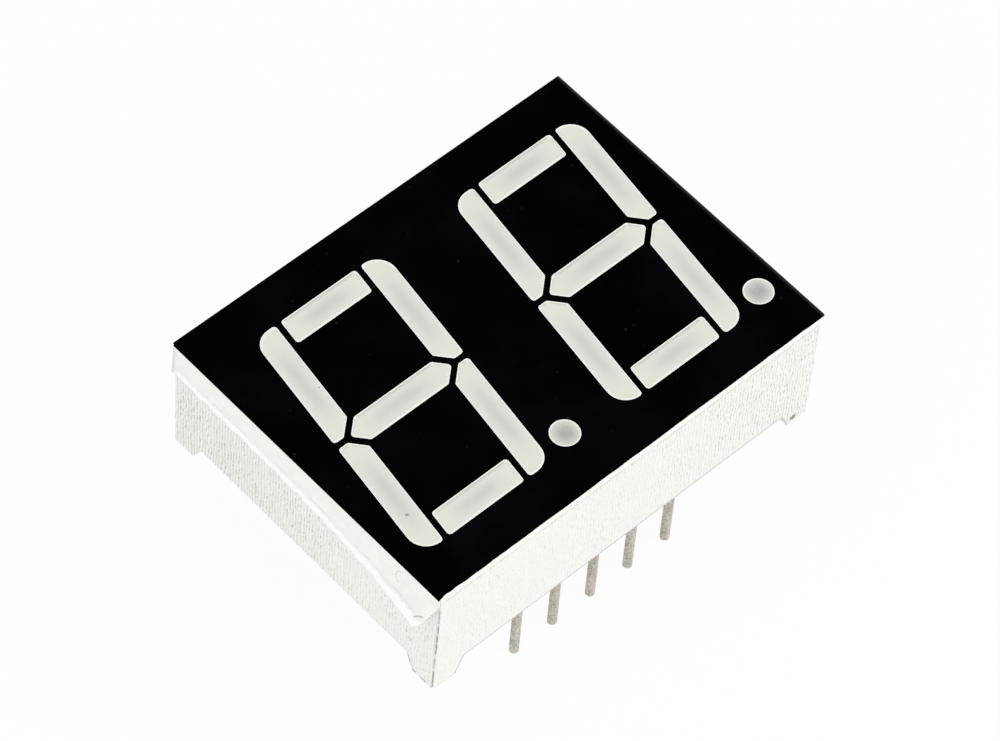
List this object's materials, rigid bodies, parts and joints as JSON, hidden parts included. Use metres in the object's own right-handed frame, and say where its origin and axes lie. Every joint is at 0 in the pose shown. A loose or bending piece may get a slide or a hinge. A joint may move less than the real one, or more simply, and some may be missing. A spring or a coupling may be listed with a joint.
{
  "type": "seven segment display",
  "caption": "Slanted seven segment numeric display with decimal points, in a shallow white housing with a black face and two rows of round pins for a circuit board.",
  "frame": {"origin": "centre of the pin pattern, on the plane that the four corner feet stand on", "axes": "+Z out of the black face, +Y towards the top of the digits, +X along the row of digits to the right; the pins point along -Z"},
  "size_m": [0.0261, 0.019, 0.0144],
  "materials": {
    "housing_plastic": "white moulded plastic with fine upright tool marks on its walls",
    "printed_film": "satin black print on thin white film",
    "segment_resin": "milky cast resin",
    "board_laminate": "glass laminate with green solder mask",
    "copper": "etched copper",
    "tinned_pin": "dull tinned wire",
    "solder": "bright solder",
    "chip": "cut crystal chip",
    "gold_wire": "drawn gold wire"
  },
  "bodies": {
    "root": {"housing": "housing_plastic", "face_film": "printed_film", "resin_fill": "segment_resin", "circuit_board": "board_laminate", "copper_tracks": "copper", "pin_1": "tinned_pin", "solder_1": "solder", "pin_2": "tinned_pin", "solder_2": "solder", "pin_3": "tinned_pin", "solder_3": "solder", "pin_4": "tinned_pin", "solder_4": "solder", "pin_5": "tinned_pin", "solder_5": "solder", "pin_6": "tinned_pin", "solder_6": "solder", "pin_7": "tinned_pin", "solder_7": "solder", "pin_8": "tinned_pin", "solder_8": "solder", "pin_9": "tinned_pin", "solder_9": "solder", "pin_10": "tinned_pin", "solder_10": "solder", "chip_1a": "chip", "bond_wire_1a": "gold_wire", "chip_1b": "chip", "bond_wire_1b": "gold_wire", "chip_1c": "chip", "bond_wire_1c": "gold_wire", "chip_1d": "chip", "bond_wire_1d": "gold_wire", "chip_1e": "chip", "bond_wire_1e": "gold_wire", "chip_1f": "chip", "bond_wire_1f": "gold_wire", "chip_1g": "chip", "bond_wire_1g": "gold_wire", "chip_1dp": "chip", "bond_wire_1dp": "gold_wire", "chip_2a": "chip", "bond_wire_2a": "gold_wire", "chip_2b": "chip", "bond_wire_2b": "gold_wire", "chip_2c": "chip", "bond_wire_2c": "gold_wire", "chip_2d": "chip", "bond_wire_2d": "gold_wire", "chip_2e": "chip", "bond_wire_2e": "gold_wire", "chip_2f": "chip", "bond_wire_2f": "gold_wire", "chip_2g": "chip", "bond_wire_2g": "gold_wire", "chip_2dp": "chip", "bond_wire_2dp": "gold_wire"}
  },
  "joints": []
}
